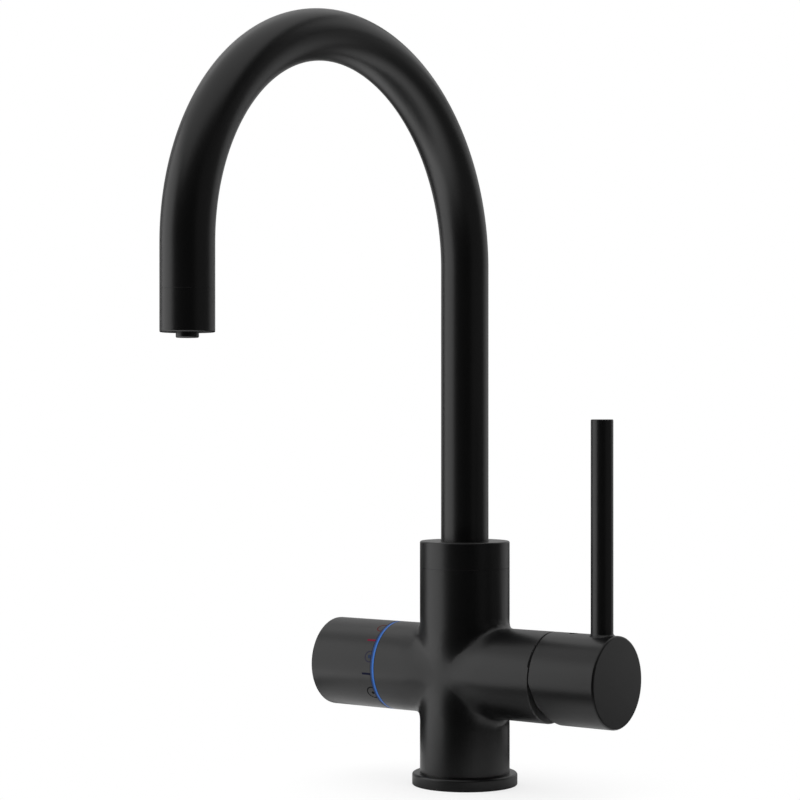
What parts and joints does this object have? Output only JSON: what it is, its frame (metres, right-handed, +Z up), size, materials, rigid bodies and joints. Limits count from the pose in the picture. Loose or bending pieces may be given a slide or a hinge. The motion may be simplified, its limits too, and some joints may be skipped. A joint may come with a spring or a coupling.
{
  "type": "kitchen sink mixer tap with filtered water selector",
  "caption": "Matt black gooseneck kitchen tap with a side mixing lever and a side selector knob for treated water.",
  "frame": {"origin": "centre of the foot's underside, in the worktop plane, on the mouth of the shank socket", "axes": "+Z up along the column, -Y the way the spout points, +X along the lever arm, -X along the selector arm"},
  "size_m": [0.1823, 0.2588, 0.3972],
  "materials": {
    "black_coat": "matt black powder coat on brass",
    "rubber_seal": "matt",
    "brass": "turned",
    "steel": "turned",
    "white_plastic": "moulded",
    "grey_plastic": "moulded",
    "ceramic": "lapped ceramic",
    "indicator_blue": "satin"
  },
  "bodies": {
    "tap_body": {"body_casting": "black_coat", "base_flange": "black_coat", "base_seal": "rubber_seal", "inlet_manifold": "brass", "manifold_seal": "rubber_seal", "spout_collar": "black_coat", "swivel_bush": "white_plastic", "thrust_washer": "white_plastic", "swivel_stop_pin": "steel", "tube_seal": "rubber_seal", "cartridge_base": "grey_plastic", "port_seals": "rubber_seal", "cartridge_case": "grey_plastic", "fixed_disc": "ceramic", "cartridge_nut": "brass", "cover_dome": "black_coat", "indicator_ring": "indicator_blue", "selector_gasket": "rubber_seal", "selector_fixed_disc": "ceramic", "selector_bonnet": "brass"},
    "spout": {"spout_tube": "black_coat", "spout_spigot": "brass", "spigot_o_rings": "rubber_seal", "inner_water_tube": "white_plastic", "outlet_housing": "black_coat", "flow_insert": "grey_plastic", "outlet_washer": "rubber_seal", "outlet_nozzle": "black_coat"},
    "lever_carrier": {"cartridge_rotor": "white_plastic", "stem_pin": "steel"},
    "mixing_slide": {"moving_disc": "ceramic", "disc_carrier": "grey_plastic"},
    "lever": {"lever_stem": "steel", "lever_cap": "black_coat", "lever_rod": "black_coat", "lever_grub_screw": "steel"},
    "selector": {"selector_knob": "black_coat", "selector_spindle": "brass", "selector_moving_disc": "ceramic", "spindle_o_ring": "rubber_seal", "spindle_circlip": "steel", "knob_grub_screw": "steel"}
  },
  "joints": [
    {"name": "spout_swivel", "type": "hinge", "parent": "tap_body", "child": "spout", "pos_m": [0, 0, 0.1], "axis": [0, 0, 1], "range_deg": [-75, 75]},
    {"name": "lever_turn", "type": "hinge", "parent": "tap_body", "child": "lever_carrier", "pos_m": [0.048, 0, 0.0606], "axis": [1, 0, 0], "range_deg": [-45, 45]},
    {"name": "lever_tilt", "type": "hinge", "parent": "lever_carrier", "child": "lever", "pos_m": [0.048, 0, 0.0606], "axis": [0, 1, 0], "range_deg": [0, 18]},
    {"name": "disc_slide", "type": "slide", "parent": "lever_carrier", "child": "mixing_slide", "axis": [0, 0, 1], "range_m": [-0.0001, 0.0056]},
    {"name": "selector_turn", "type": "hinge", "parent": "tap_body", "child": "selector", "pos_m": [-0.045, 0, 0.0606], "axis": [1, 0, 0], "range_deg": [-50, 50]}
  ],
  "couplings": [
    {"joint": "disc_slide", "follows": "lever_tilt", "m_per_rad": 0.01741}
  ]
}
